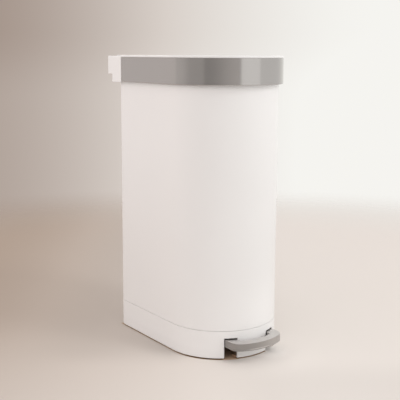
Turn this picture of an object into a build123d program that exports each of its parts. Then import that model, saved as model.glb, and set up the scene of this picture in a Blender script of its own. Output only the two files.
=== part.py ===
from build123d import *
import math
import os

# Slim pedal trash can with a half-round front, an overhanging lid and a U-shaped pedal.
# Millimetres, +Z up, front towards -Y, floor at Z = 0, origin under the middle of the whole object.
# The pedal rocks on a crosswise axle, its far end lifts an upright rod, and the rod lifts the lid.

# Overall form
overall_height = 650.0
body_width = 256.0
body_length = 356.0
back_corner_radius = 18.0
least_corner_radius = 1.0
lid_overhang = 10.0
hinge_overhang = 19.0
pedal_reach = 35.5

# Tub
body_wall = 2.5
floor_thickness = 3.0
seam_height = 63.3
seam_gap = 0.8
rim_below_top = 9.0
rim_lip = 3.0
rim_lip_height = 5.0
rim_rounding = 1.0
seam_rounding = 0.6
boss_radius = 5.0
boss_height = 8.0
boss_bite = 1.0

# Base ring
foot_height = 2.0
plinth_wall = 3.0
flange_width = 18.0
flange_thickness = 2.5
lip_wall = 2.5
lip_height = 4.0
lip_notch_margin = 6.0
plinth_bevel = 1.2
foot_radius = 8.0
foot_stub_radius = 3.0
foot_stub_head = 1.5
foot_edge = 0.5
front_foot_angle = 48.0
middle_foot_back = 70.0
back_foot_ahead = 24.0

# Lid
band_height = 56.6
band_thickness = 0.8
top_edge_height = 4.0
top_plate = 3.0
top_rounding = 1.2
skirt_wall = 2.5
skirt_recess = 1.0
lid_back_setback = 32.0
rib_height = 5.0
rib_width = 2.0
rib_spacing = 60.0
rib_end_gap = 14.0
bumper_radius = 3.0
bumper_gap = 0.3
bumper_front_angle = 60.0
bumper_side_back = 150.0

# Hinge
parting_gap = 1.0
barrel_radius = 10.0
pin_radius = 3.0
pin_clearance = 0.05
pin_reach = 22.0
pin_end_gap = 1.0
cheek_width = 20.0
cheek_gap = 1.0
cheek_drop = 2.0
cheek_rounding = 3.0
housing_wall = 2.5
housing_drop = 1.9
overhang_height = 42.0
housing_edge = 1.5
deck_drop = 22.5
tongue_thickness = 4.0
pin_boss_radius = 6.0
housing_screw_spread = 200.0
housing_boss_length = 30.0

# Lift linkage
lid_open_angle = 70.0
crank_radius = 33.0
crank_nose_radius = 4.0
crank_web = 10.0
crank_plate = 4.0
crank_plate_width = 28.0
crank_plate_length = 30.0
crank_plate_offset = 14.0
crank_web_margin = 3.0
lift_gap = 0.7
notch_width = 24.0
notch_back_gap = 6.0
rod_radius = 3.0
rod_clearance = 0.1
tip_radius = 7.0
tip_height = 12.0
tip_socket = 8.0
foot_disc_radius = 6.5
foot_disc_height = 5.0
foot_socket = 3.5
rod_foot_gap = 0.3
lift_headroom = 1.5

# Rod channel, guides and damper
channel_width = 64.0
channel_front_gap = 3.0
channel_wall = 2.0
channel_top_gap = 0.5
channel_ear = 12.0
channel_ear_depth = 8.0
channel_ear_height = 16.0
channel_screw_inset = 60.0
channel_screw_rows = 3
bush_radius = 6.0
bush_flange_radius = 8.0
bush_flange = 2.0
guide_width = 18.0
guide_height = 15.0
guide_below_deck = 50.0
guide_front_wall = 5.0
damper_offset = 18.0
damper_radius = 8.0
damper_bore_radius = 6.5
damper_length = 102.0
damper_height = 318.0
damper_end_wall = 3.0
piston_radius = 6.3
piston_length = 10.0
piston_rest_lift = 9.0
piston_rod_radius = 2.0
piston_rod_clearance = 0.3
collar_height = 10.0
collar_above_damper = 50.0
collar_wall = 4.0
clip_height = 8.0
clip_inset = 12.0
clip_width = 20.0

# Pedal and lever
pedal_top = 45.0
pedal_height = 15.0
tread_width = 21.0
tread_front_radius = 125.0
tread_corner_radius = 22.0
tread_inner_corner_radius = 8.0
tread_sheet = 2.0
tread_edge = 1.0
tread_lower_edge = 0.7
arm_outer_x = 66.0
arm_inner_x = 40.5
arm_back = 58.0
slot_side_gap = 0.85
slot_headroom = 2.6
pivot_from_front = 119.0
pivot_drop = 9.0
lever_thickness = 3.0
lever_front_radius = 4.5
lever_pivot_radius = 9.0
lever_back_radius = 6.0
rivet_radius = 2.5
rivet_head_radius = 4.0
rivet_head = 1.2
rivet_spacing = 16.0
axle_radius = 4.0
axle_clearance = 0.05
axle_bush_wall = 2.0
axle_bush_flange_radius = 8.5
axle_bush_flange = 1.5
bracket_gap = 0.5
bracket_sheet = 3.0
bracket_foot = 18.0
bracket_length = 32.0
bracket_ear_radius = 9.0
clip_ring_radius = 6.5
clip_ring = 1.2
shaft_end = 1.5
lifter_shaft_radius = 4.0
lifter_sleeve_wall = 1.5
lifter_sleeve_length = 24.0

# Fasteners
screw_radius = 1.6
screw_head_radius = 3.2
screw_head = 2.0
screw_bite = 6.0
wall_screw_bite = 4.0
screw_tip_gap = 0.5
screw_edge = 1.0

# Depth stations
total_depth = pedal_reach + body_length + lid_overhang + hinge_overhang
pedal_front_y = -total_depth / 2
body_front_y = pedal_front_y + pedal_reach
body_back_y = body_front_y + body_length
round_y = body_front_y + body_width / 2
lid_back_y = body_back_y - lid_back_setback
housing_front_y = lid_back_y + parting_gap
housing_back_y = body_back_y + lid_overhang
hinge_back_y = housing_back_y + hinge_overhang
hinge_y = hinge_back_y - barrel_radius
inner_back_y = body_back_y - body_wall
pivot_y = body_front_y + pivot_from_front
base_boss_y = body_back_y - back_corner_radius - 2 * boss_radius

# Height stations
plinth_top = seam_height - seam_gap / 2
body_low = seam_height + seam_gap / 2
floor_top = body_low + floor_thickness
rim_top = overall_height - rim_below_top
deck_top = overall_height - deck_drop
deck_low = deck_top - housing_wall
band_top = overall_height - top_edge_height
band_low = band_top - band_height
plate_low = overall_height - top_plate
tongue_low = overall_height - tongue_thickness
hinge_z = overall_height - barrel_radius
cheek_top = overall_height - cheek_drop
housing_low = band_low - housing_drop
overhang_low = cheek_top - overhang_height
pedal_low = pedal_top - pedal_height
pivot_z = pedal_top - pivot_drop

# Width stations
lid_half = body_width / 2 + lid_overhang
cheek_inner_x = lid_half - cheek_width
tongue_half = cheek_inner_x - cheek_gap
lever_inner_x = arm_inner_x + tread_sheet
lever_outer_x = lever_inner_x + lever_thickness
bracket_inner_x = lever_outer_x + axle_bush_flange + bracket_gap
bracket_outer_x = bracket_inner_x + bracket_sheet
axle_half = bracket_outer_x + clip_ring + shaft_end
shaft_half = lever_outer_x + clip_ring + shaft_end

# Lift linkage: the crank swings evenly to both sides of level, so the rod's travel is nearly linear
half_swing = math.radians(lid_open_angle / 2)
crank_y = hinge_y - crank_radius * math.cos(half_swing)
crank_z = hinge_z - crank_radius * math.sin(half_swing)
rod_y = hinge_y - crank_radius * (1 + math.cos(half_swing)) / 2
rod_travel = 2 * crank_radius * math.sin(half_swing)
rod_top = crank_z - crank_nose_radius - lift_gap
lever_back_arm = rod_y - pivot_y
pedal_angle = math.degrees(rod_travel / lever_back_arm)
lifter_radius = lifter_shaft_radius + lifter_sleeve_wall
foot_low = body_low - lift_headroom - rod_travel - foot_disc_height
lifter_z = foot_low - rod_foot_gap - lifter_radius
damper_y = inner_back_y - wall_screw_bite - screw_tip_gap - damper_radius
collar_low = damper_height + damper_length + collar_above_damper


def d_outline(outset):
    """D-shaped plan: straight sides and flat back, half-round front, moved out from the tub's face."""
    half = body_width / 2 + outset
    back = body_back_y + outset
    corner = max(back_corner_radius + outset, least_corner_radius)
    side_end = back - corner
    bend = corner * (1 - math.sqrt(0.5))
    edges = [
        Line((half, round_y), (half, side_end)),
        ThreePointArc((half, side_end), (half - bend, back - bend), (half - corner, back)),
        Line((half - corner, back), (corner - half, back)),
        ThreePointArc((corner - half, back), (bend - half, back - bend), (-half, side_end)),
        Line((-half, side_end), (-half, round_y)),
        ThreePointArc((-half, round_y), (0, round_y - half), (half, round_y)),
    ]
    return make_face(edges)


def outline_point(angle, outset):
    """Point on the half-round front, at an angle from straight ahead."""
    radius = body_width / 2 + outset
    turn = math.radians(angle)
    return radius * math.sin(turn), round_y - radius * math.cos(turn)


def upright_prism(profile, low, high):
    """Plan profile raised from one height to another."""
    return extrude(Pos(0, 0, low) * profile, amount=high - low, dir=(0, 0, 1))


def d_prism(outset, low, high):
    return upright_prism(d_outline(outset), low, high)


def d_ring(outer, inner, low, high):
    return d_prism(outer, low, high) - d_prism(inner, low, high)


def side_prism(profile, left, right):
    """Side profile, drawn in Y and Z, carried across from one X to another."""
    return extrude(Pos(left, 0, 0) * (Plane.YZ * profile), amount=right - left, dir=(1, 0, 0))


def block(left, right, front, back, low, high):
    place = Pos((left + right) / 2, (front + back) / 2, (low + high) / 2)
    return place * Box(right - left, back - front, high - low)


def upright(x, y, low, high, radius):
    return Pos(x, y, (low + high) / 2) * Cylinder(radius, high - low)


def crosswise(y, z, left, right, radius):
    return Pos((left + right) / 2, y, z) * Rot(0, 90, 0) * Cylinder(radius, right - left)


def lengthwise(x, z, front, back, radius):
    return Pos(x, (front + back) / 2, z) * Rot(90, 0, 0) * Cylinder(radius, back - front)


def both_sides(right_piece):
    """A right-hand piece and its mirror image on the left."""
    return [right_piece, mirror(right_piece, about=Plane.YZ)]


def behind(y):
    """Everything behind a depth station, as a cutting block."""
    return block(-total_depth, total_depth, y, y + total_depth, -overall_height, 2 * overall_height)


def screw_up(x, y, seat, grip):
    """Pan-head screw driven upwards, head below its seat."""
    return upright(x, y, seat - screw_head, seat, screw_head_radius) + upright(
        x, y, seat, seat + grip, screw_radius
    )


def screw_down(x, y, seat, grip):
    """Pan-head screw driven downwards, head above its seat."""
    return upright(x, y, seat, seat + screw_head, screw_head_radius) + upright(
        x, y, seat - grip, seat, screw_radius
    )


def screw_forward(x, z, seat, grip):
    """Pan-head screw driven in from the back, head behind its seat."""
    return lengthwise(x, z, seat, seat + screw_head, screw_head_radius) + lengthwise(
        x, z, seat - grip, seat, screw_radius
    )


def base_screw_places():
    """Screws that hold the base to the tub: one near each end of both straight sides."""
    x = body_width / 2 - plinth_wall - boss_radius + boss_bite
    return [(side * x, y) for side in (-1, 1) for y in (round_y, base_boss_y)]


def bracket_screw_places():
    x = bracket_outer_x + bracket_foot - boss_radius
    step = bracket_length / 2 - boss_radius
    return [(side * x, pivot_y + end * step) for side in (-1, 1) for end in (-1, 1)]


def housing_screw_places():
    y = inner_back_y - boss_radius + boss_bite
    return [(side * housing_screw_spread / 2, y) for side in (-1, 1)]


def foot_places():
    """Feet under the base flange: two in front beside the slots, two at the sides, two at the back."""
    middle = plinth_wall / 2 + flange_width / 2
    front = outline_point(front_foot_angle, -middle)
    side_x = body_width / 2 - middle
    right = [front, (side_x, round_y + middle_foot_back), (side_x, base_boss_y - back_foot_ahead)]
    return [(side * x, y) for side in (-1, 1) for x, y in right]


def channel_rows():
    """Heights of the screw rows that hold the rod channel."""
    low = floor_top + channel_screw_inset
    step = (deck_low - channel_screw_inset - low) / (channel_screw_rows - 1)
    return [low + row * step for row in range(channel_screw_rows)]


def clip_heights():
    low = damper_height + clip_inset
    return [low, damper_height + damper_length - clip_inset - clip_height]


def guide_low():
    return deck_low - guide_below_deck - guide_height


def channel_ear_x():
    return channel_width / 2 + channel_ear / 2


def channel_screw_places():
    """Screws through the back wall: into the channel's ears, the rod guide and the damper clips."""
    places = [(side * channel_ear_x(), z) for side in (-1, 1) for z in channel_rows()]
    places.append((0, guide_low() + guide_height / 2))
    places += [(damper_offset, z + clip_height / 2) for z in clip_heights()]
    return places


def make_bin_body():
    """Tub with a floor, a rolled rim and a lower back edge that carries the hinge housing."""
    lip_low = rim_top - rim_lip_height
    outer = d_prism(0, body_low, rim_top)
    outer = fillet(outer.edges().group_by(Axis.Z)[0], seam_rounding)
    lip = d_prism(rim_lip, lip_low, rim_top)
    lip = fillet(lip.edges().group_by(Axis.Z)[-1] + lip.edges().group_by(Axis.Z)[0], rim_rounding)
    tub = outer + lip - d_prism(-body_wall, floor_top, rim_top)
    back_cut_y = lid_back_y - parting_gap
    tub -= block(-lid_half, lid_half, back_cut_y, housing_back_y, deck_low, overall_height)
    tub -= behind(back_cut_y) & d_ring(rim_lip, 0, lip_low, rim_top)
    for x, y in housing_screw_places():
        tub += upright(x, y, deck_low - housing_boss_length, deck_low, boss_radius)
        tub -= upright(x, y, deck_low - screw_bite, deck_low, screw_radius)
    for x, y in base_screw_places() + bracket_screw_places():
        tub += upright(x, y, floor_top, floor_top + boss_height, boss_radius)
        tub -= upright(x, y, body_low, body_low + screw_bite, screw_radius)
    tub -= upright(0, rod_y, body_low, floor_top, bush_radius)
    for x, z in channel_screw_places():
        tub -= lengthwise(x, z, inner_back_y, body_back_y, screw_radius)
    return tub


def make_base_plinth():
    """Base ring flush with the tub, with a bottom flange, a locating lip and two pedal slots."""
    outer = d_prism(0, foot_height, plinth_top)
    outer = fillet(outer.edges().group_by(Axis.Z)[-1], seam_rounding)
    outer = chamfer(outer.edges().group_by(Axis.Z)[0], plinth_bevel)
    ring = outer - d_prism(-plinth_wall, foot_height + flange_thickness, plinth_top)
    ring -= d_prism(-flange_width, foot_height, foot_height + flange_thickness)
    lip_low = body_low - lip_height
    lip_inset = -plinth_wall - lip_wall
    ring += d_ring(-plinth_wall / 2, lip_inset, lip_low, plinth_top - seam_rounding)
    ring += d_ring(-plinth_wall, lip_inset, lip_low, body_low)
    notch_half = shaft_half + lip_notch_margin
    notch_back = body_back_y - plinth_wall
    ring -= block(-notch_half, notch_half, rod_y, notch_back, lip_low, body_low)
    for x, y in base_screw_places():
        ring += upright(x, y, foot_height, body_low, boss_radius)
        ring -= upright(x, y, foot_height, body_low - boss_height, screw_head_radius)
        ring -= upright(x, y, foot_height, body_low, screw_radius)
    for x, y in foot_places():
        ring -= upright(x, y, foot_height, foot_height + flange_thickness, foot_stub_radius)
    slot_top = pedal_top + slot_headroom
    for side in (-1, 1):
        left, right = sorted((side * (arm_inner_x - slot_side_gap), side * (arm_outer_x + slot_side_gap)))
        ring -= block(left, right, body_front_y - pedal_reach, pivot_y - bracket_length, 0, slot_top)
    return ring


def make_rubber_feet():
    feet = []
    for x, y in foot_places():
        pad = upright(x, y, 0, foot_height, foot_radius)
        pad = fillet(pad.edges().group_by(Axis.Z)[0], foot_edge)
        stub_top = foot_height + flange_thickness + foot_stub_head
        feet.append(pad + upright(x, y, foot_height, stub_top, foot_stub_radius))
    return feet


def make_base_screws():
    seat = body_low - boss_height
    return [screw_up(x, y, seat, boss_height + screw_bite) for x, y in base_screw_places()]


def make_pivot_bracket():
    """Right-hand steel angle under the tub's floor, with an ear that holds the pedal's axle."""
    back = pivot_y + bracket_length / 2
    front = pivot_y - bracket_length / 2
    plate_bottom = body_low - bracket_sheet
    plate = block(bracket_inner_x, bracket_outer_x + bracket_foot, front, back, plate_bottom, body_low)
    ear = make_hull(
        (Pos(pivot_y, pivot_z) * Circle(bracket_ear_radius)).edges()
        + (Pos(pivot_y, plate_bottom) * Rectangle(bracket_length, bracket_sheet)).edges()
    )
    bracket = plate + side_prism(ear, bracket_inner_x, bracket_outer_x)
    bracket -= crosswise(pivot_y, pivot_z, bracket_inner_x, bracket_outer_x, axle_radius)
    for x, y in bracket_screw_places():
        bracket -= upright(x, y, plate_bottom, body_low, screw_radius)
    return bracket


def make_bracket_screws():
    seat = body_low - bracket_sheet
    return [screw_up(x, y, seat, bracket_sheet + screw_bite) for x, y in bracket_screw_places()]


def make_pivot_axle():
    return crosswise(pivot_y, pivot_z, -axle_half, axle_half, axle_radius)


def ring_clip(y, z, left, radius):
    """Retaining ring round a crosswise shaft."""
    right = left + clip_ring
    return crosswise(y, z, left, right, clip_ring_radius) - crosswise(y, z, left, right, radius)


def make_axle_clips():
    return both_sides(ring_clip(pivot_y, pivot_z, bracket_outer_x, axle_radius))


def make_rod_channel():
    """U-shaped cover over the rod, with ears that take screws from behind."""
    half = channel_width / 2
    front = housing_front_y + channel_front_gap
    top = deck_low - channel_top_gap
    cover = block(-half, half, front, inner_back_y, floor_top, top)
    inner_half = half - channel_wall
    cover -= block(-inner_half, inner_half, front + channel_wall, inner_back_y, floor_top, top)
    for side in (-1, 1):
        left, right = sorted((side * (half - channel_wall / 2), side * (half + channel_ear)))
        for z in channel_rows():
            ear_low = z - channel_ear_height / 2
            ear_high = z + channel_ear_height / 2
            cover += block(left, right, inner_back_y - channel_ear_depth, inner_back_y, ear_low, ear_high)
            hole_front = inner_back_y - wall_screw_bite
            cover -= lengthwise(side * channel_ear_x(), z, hole_front, inner_back_y, screw_radius)
    return cover


def make_channel_screws():
    grip = body_wall + wall_screw_bite
    return [screw_forward(x, z, body_back_y, grip) for x, z in channel_screw_places()]


def make_rod_bush():
    """Lower rod bearing, pressed through the tub's floor from above."""
    bush = upright(0, rod_y, body_low, floor_top, bush_radius)
    bush += upright(0, rod_y, floor_top, floor_top + bush_flange, bush_flange_radius)
    return bush - upright(0, rod_y, body_low, floor_top + bush_flange, rod_radius + rod_clearance)


def make_rod_guide():
    """Upper rod bearing on the tub's back wall."""
    low = guide_low()
    high = low + guide_height
    front = rod_y - rod_radius - guide_front_wall
    guide = block(-guide_width / 2, guide_width / 2, front, inner_back_y, low, high)
    guide -= upright(0, rod_y, low, high, rod_radius + rod_clearance)
    return guide - lengthwise(0, (low + high) / 2, rod_y + rod_radius, inner_back_y, screw_radius)


def make_damper_cylinder():
    """Closed air cylinder with a hole in its top end for the piston rod."""
    top = damper_height + damper_length
    cylinder = upright(damper_offset, damper_y, damper_height, top, damper_radius)
    bore_low = damper_height + damper_end_wall
    bore_high = top - damper_end_wall
    cylinder -= upright(damper_offset, damper_y, bore_low, bore_high, damper_bore_radius)
    rod_hole = piston_rod_radius + piston_rod_clearance
    return cylinder - upright(damper_offset, damper_y, bore_high, top, rod_hole)


def make_damper_clips():
    """Two saddles between the cylinder and the tub's back wall."""
    clips = []
    left = damper_offset - clip_width / 2
    right = damper_offset + clip_width / 2
    for low in clip_heights():
        high = low + clip_height
        clip = block(left, right, damper_y, inner_back_y, low, high)
        clip -= upright(damper_offset, damper_y, low, high, damper_radius)
        hole_z = (low + high) / 2
        clip -= lengthwise(damper_offset, hole_z, damper_y, inner_back_y, screw_radius)
        clips.append(clip)
    return clips


def housing_profile(inset):
    """Side profile of the hinge housing: a skirt behind the tub and a deeper upper part over the hinge."""
    low = housing_low if inset == 0 else housing_low - housing_wall
    front = housing_front_y + inset
    return make_face(
        Polyline(
            (front, low),
            (housing_back_y - inset, low),
            (housing_back_y - inset, overhang_low + inset),
            (hinge_back_y - inset, overhang_low + inset),
            (hinge_back_y - inset, cheek_top - inset),
            (front, cheek_top - inset),
            close=True,
        )
    )


def make_hinge_housing():
    """Hollow block behind the lid: two cheeks that hold the hinge pins and a low deck between them."""
    outer = side_prism(housing_profile(0), -lid_half, lid_half)
    top_back = outer.edges().filter_by(Axis.X).sort_by(lambda edge: edge.center().Y + edge.center().Z)[-1]
    outer = fillet(top_back, cheek_rounding)
    ends = outer.edges().group_by(Axis.X)
    outer = fillet(ends[0] + ends[-1], housing_edge)
    trough_back = hinge_back_y + hinge_overhang
    trough = block(-cheek_inner_x, cheek_inner_x, housing_front_y, trough_back, deck_top, overall_height)
    inner_half = lid_half - housing_wall
    core_half = cheek_inner_x + housing_wall
    core = block(-core_half, core_half, housing_front_y, trough_back, deck_low, overall_height)
    cavity = side_prism(housing_profile(housing_wall), -inner_half, inner_half) - core
    mouth_back = housing_front_y + housing_wall
    front_mouth = block(-inner_half, inner_half, housing_front_y, mouth_back, housing_low, deck_low)
    housing = outer - trough - cavity - front_mouth
    for side in (-1, 1):
        left, right = sorted((side * cheek_inner_x, side * inner_half))
        housing += crosswise(hinge_y, hinge_z, left, right, pin_boss_radius)
        left, right = sorted((side * cheek_inner_x, side * (inner_half - pin_end_gap)))
        housing -= crosswise(hinge_y, hinge_z, left, right, pin_radius)
    half_notch = notch_width / 2
    notch_back = crank_y + crank_nose_radius + notch_back_gap
    housing -= block(-half_notch, half_notch, housing_front_y, notch_back, deck_low, deck_top)
    for x, y in housing_screw_places():
        housing -= upright(x, y, deck_low, deck_top, screw_radius)
    return housing


def make_housing_screws():
    return [screw_down(x, y, deck_top, housing_wall + screw_bite) for x, y in housing_screw_places()]


def make_hinge_pins():
    left = cheek_inner_x - pin_reach
    right = lid_half - housing_wall - pin_end_gap
    return both_sides(crosswise(hinge_y, hinge_z, left, right, pin_radius))


def make_lid_shell():
    """Lid with a flush top edge, a skirt behind the band and a back tongue that ends in the hinge barrel."""
    cap = d_prism(lid_overhang, band_top, overall_height)
    cap = fillet(cap.edges().group_by(Axis.Z)[-1], top_rounding)
    skirt_outer = lid_overhang - band_thickness
    skirt_inner = skirt_outer - skirt_wall
    cap += d_prism(skirt_outer, band_low + skirt_recess, band_top)
    cap -= d_prism(skirt_inner, band_low, plate_low)
    cap -= behind(lid_back_y)
    rib_front = body_front_y + body_wall + rib_end_gap
    rib_low = plate_low - rib_height
    for x in (-rib_spacing, 0, rib_spacing):
        left = x - rib_width / 2
        run = block(left, left + rib_width, rib_front, lid_back_y, rib_low, plate_low)
        cap += run & d_prism(-body_wall - rib_end_gap, rib_low, plate_low)
    cap += block(-tongue_half, tongue_half, lid_back_y, hinge_y, tongue_low, overall_height)
    cap += crosswise(hinge_y, hinge_z, -tongue_half, tongue_half, barrel_radius)
    hole_depth = pin_reach + pin_end_gap
    for side in (-1, 1):
        left, right = sorted((side * (cheek_inner_x - hole_depth), side * tongue_half))
        cap -= crosswise(hinge_y, hinge_z, left, right, pin_radius + pin_clearance)
    for x, y in crank_screw_places():
        cap -= upright(x, y, tongue_low, tongue_low + top_plate, screw_radius)
    return cap


def make_lid_band():
    """Thin satin strip round the skirt, open at the back."""
    band = d_ring(lid_overhang, lid_overhang - band_thickness, band_low, band_top)
    return band - behind(lid_back_y)


def crank_plate_front():
    return hinge_y - crank_plate_offset - crank_plate_length


def crank_screw_places():
    margin = screw_head_radius + screw_edge
    x = crank_plate_width / 2 - margin
    front = crank_plate_front() + margin
    back = hinge_y - crank_plate_offset - margin
    return [(side * x, y) for side in (-1, 1) for y in (front, back)]


def make_lift_crank():
    """Lug under the lid's tongue with a round nose that the rod's button pushes."""
    plate_bottom = tongue_low - crank_plate
    front = crank_plate_front()
    back = front + crank_plate_length
    plate = block(-crank_plate_width / 2, crank_plate_width / 2, front, back, plate_bottom, tongue_low)
    web_length = crank_plate_length - 2 * crank_web_margin
    root = Pos((front + back) / 2, tongue_low - crank_plate / 2) * Rectangle(web_length, crank_plate)
    nose = Pos(crank_y, crank_z) * Circle(crank_nose_radius)
    web = make_hull(root.edges() + nose.edges())
    crank = plate + side_prism(web, -crank_web / 2, crank_web / 2)
    for x, y in crank_screw_places():
        crank -= upright(x, y, plate_bottom, tongue_low, screw_radius)
    return crank


def make_crank_screws():
    seat = tongue_low - crank_plate
    return [screw_up(x, y, seat, crank_plate + top_plate) for x, y in crank_screw_places()]


def make_lid_bumpers():
    """Soft pads under the lid that land on the tub's rim."""
    outset = (rim_lip - body_wall) / 2
    side_x = body_width / 2 + outset
    places = [outline_point(angle, outset) for angle in (-bumper_front_angle, 0, bumper_front_angle)]
    places += [(side * side_x, round_y + bumper_side_back) for side in (-1, 1)]
    return [upright(x, y, rim_top + bumper_gap, plate_low, bumper_radius) for x, y in places]


def tread_plan(back, inset):
    """U-shaped plan of the pedal: an arched front bar and two straight arms."""
    outer_x = arm_outer_x - inset
    inner_x = arm_inner_x + inset
    outer_radius = tread_front_radius - inset
    inner_radius = tread_front_radius - tread_width + inset
    center = pedal_front_y + tread_front_radius
    outer_y = center - math.sqrt(outer_radius**2 - outer_x**2)
    inner_y = center - math.sqrt(inner_radius**2 - inner_x**2)
    outside = make_face(
        [
            ThreePointArc((-outer_x, outer_y), (0, center - outer_radius), (outer_x, outer_y)),
            Polyline((outer_x, outer_y), (outer_x, back), (-outer_x, back), (-outer_x, outer_y)),
        ]
    )
    outside = fillet(outside.vertices().group_by(Axis.Y)[0], tread_corner_radius - inset)
    inside = make_face(
        [
            ThreePointArc((-inner_x, inner_y), (0, center - inner_radius), (inner_x, inner_y)),
            Polyline((inner_x, inner_y), (inner_x, back), (-inner_x, back), (-inner_x, inner_y)),
        ]
    )
    inside = fillet(inside.vertices().group_by(Axis.Y)[0], tread_inner_corner_radius + inset)
    return outside - inside


def make_pedal_tread():
    """Pressed pedal: a channel open underneath, rounded along its top edges."""
    back = body_front_y + arm_back
    tread = upright_prism(tread_plan(back, 0), pedal_low, pedal_top)
    tread = fillet(tread.edges().group_by(Axis.Z)[-1], tread_edge)
    tread = fillet(tread.edges().group_by(Axis.Z)[0], tread_lower_edge)
    hollow = upright_prism(tread_plan(back + arm_back, tread_sheet), pedal_low, pedal_top - tread_sheet)
    tread -= hollow
    for y, z in rivet_places():
        for side in (-1, 1):
            left, right = sorted((side * arm_inner_x, side * lever_inner_x))
            tread -= crosswise(y, z, left, right, rivet_radius)
    return tread


def rivet_places():
    """Rivets along the inner side of each pedal arm."""
    z = (pedal_low + pedal_top - tread_sheet) / 2
    first = body_front_y + arm_back - tread_sheet - rivet_head_radius
    return [(first - row * rivet_spacing, z) for row in range(2)]


def make_lever_arm():
    """Right-hand steel plate: riveted in the pedal, hung on the axle, and reaching back under the rod."""
    front_z = (pedal_low + pedal_top - tread_sheet) / 2
    front_y = rivet_places()[-1][0] - rivet_head_radius
    front = Pos(front_y, front_z) * Circle(lever_front_radius)
    pivot = Pos(pivot_y, pivot_z) * Circle(lever_pivot_radius)
    back = Pos(rod_y, lifter_z) * Circle(lever_back_radius)
    arm = side_prism(make_hull(front.edges() + pivot.edges()), lever_inner_x, lever_outer_x)
    arm += side_prism(make_hull(pivot.edges() + back.edges()), lever_inner_x, lever_outer_x)
    bush_seat = axle_radius + axle_bush_wall
    arm -= crosswise(pivot_y, pivot_z, lever_inner_x, lever_outer_x, bush_seat)
    arm -= crosswise(rod_y, lifter_z, lever_inner_x, lever_outer_x, lifter_shaft_radius)
    for y, z in rivet_places():
        arm -= crosswise(y, z, lever_inner_x, lever_outer_x, rivet_radius)
    return arm


def make_tread_rivets():
    rivets = []
    for y, z in rivet_places():
        shank = crosswise(y, z, arm_inner_x - rivet_head, lever_outer_x + rivet_head, rivet_radius)
        inner_head = crosswise(y, z, arm_inner_x - rivet_head, arm_inner_x, rivet_head_radius)
        outer_head = crosswise(y, z, lever_outer_x, lever_outer_x + rivet_head, rivet_head_radius)
        rivets += both_sides(shank + inner_head + outer_head)
    return rivets


def make_axle_bushes():
    """Flanged bearings between the lever arms and the axle."""
    end = lever_outer_x + axle_bush_flange
    bush = crosswise(pivot_y, pivot_z, lever_inner_x, end, axle_radius + axle_bush_wall)
    bush += crosswise(pivot_y, pivot_z, lever_outer_x, end, axle_bush_flange_radius)
    bush -= crosswise(pivot_y, pivot_z, lever_inner_x, end, axle_radius + axle_clearance)
    return both_sides(bush)


def make_lifter_shaft():
    return crosswise(rod_y, lifter_z, -shaft_half, shaft_half, lifter_shaft_radius)


def make_lifter_sleeve():
    half = lifter_sleeve_length / 2
    sleeve = crosswise(rod_y, lifter_z, -half, half, lifter_radius)
    return sleeve - crosswise(rod_y, lifter_z, -half, half, lifter_shaft_radius)


def make_lifter_clips():
    return both_sides(ring_clip(rod_y, lifter_z, lever_outer_x, lifter_shaft_radius))


def make_push_rod():
    low = foot_low + foot_disc_height - foot_socket
    return upright(0, rod_y, low, rod_top - tip_height + tip_socket, rod_radius)


def make_rod_foot():
    high = foot_low + foot_disc_height
    disc = upright(0, rod_y, foot_low, high, foot_disc_radius)
    return disc - upright(0, rod_y, high - foot_socket, high, rod_radius)


def make_rod_tip():
    """Nylon button on the rod's upper end, flat on top for the crank's sliding nose."""
    low = rod_top - tip_height
    button = upright(0, rod_y, low, rod_top, tip_radius)
    return button - upright(0, rod_y, low, low + tip_socket, rod_radius)


def make_rod_collar():
    """Clamp that ties the damper's piston rod to the push rod."""
    high = collar_low + collar_height
    left = -rod_radius - collar_wall
    right = damper_offset + piston_rod_radius + collar_wall
    front = min(rod_y - rod_radius, damper_y - piston_rod_radius) - collar_wall / 2
    back = max(rod_y + rod_radius, damper_y + piston_rod_radius) + collar_wall / 2
    collar = block(left, right, front, back, collar_low, high)
    collar -= upright(0, rod_y, collar_low, high, rod_radius)
    return collar - upright(damper_offset, damper_y, collar_low, high, piston_rod_radius)


def make_damper_piston():
    low = damper_height + damper_end_wall + piston_rest_lift
    piston = upright(damper_offset, damper_y, low, low + piston_length, piston_radius)
    return piston + upright(damper_offset, damper_y, low, collar_low + collar_height, piston_rod_radius)


def save(node, pieces):
    """Write one node: a single solid, or a group of like solids."""
    solids = []
    for piece in pieces if isinstance(pieces, list) else [pieces]:
        solids += piece.solids()
    shape = solids[0] if len(solids) == 1 else Compound(solids)
    export_step(shape, os.path.join("parts", node + ".step"))


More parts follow.
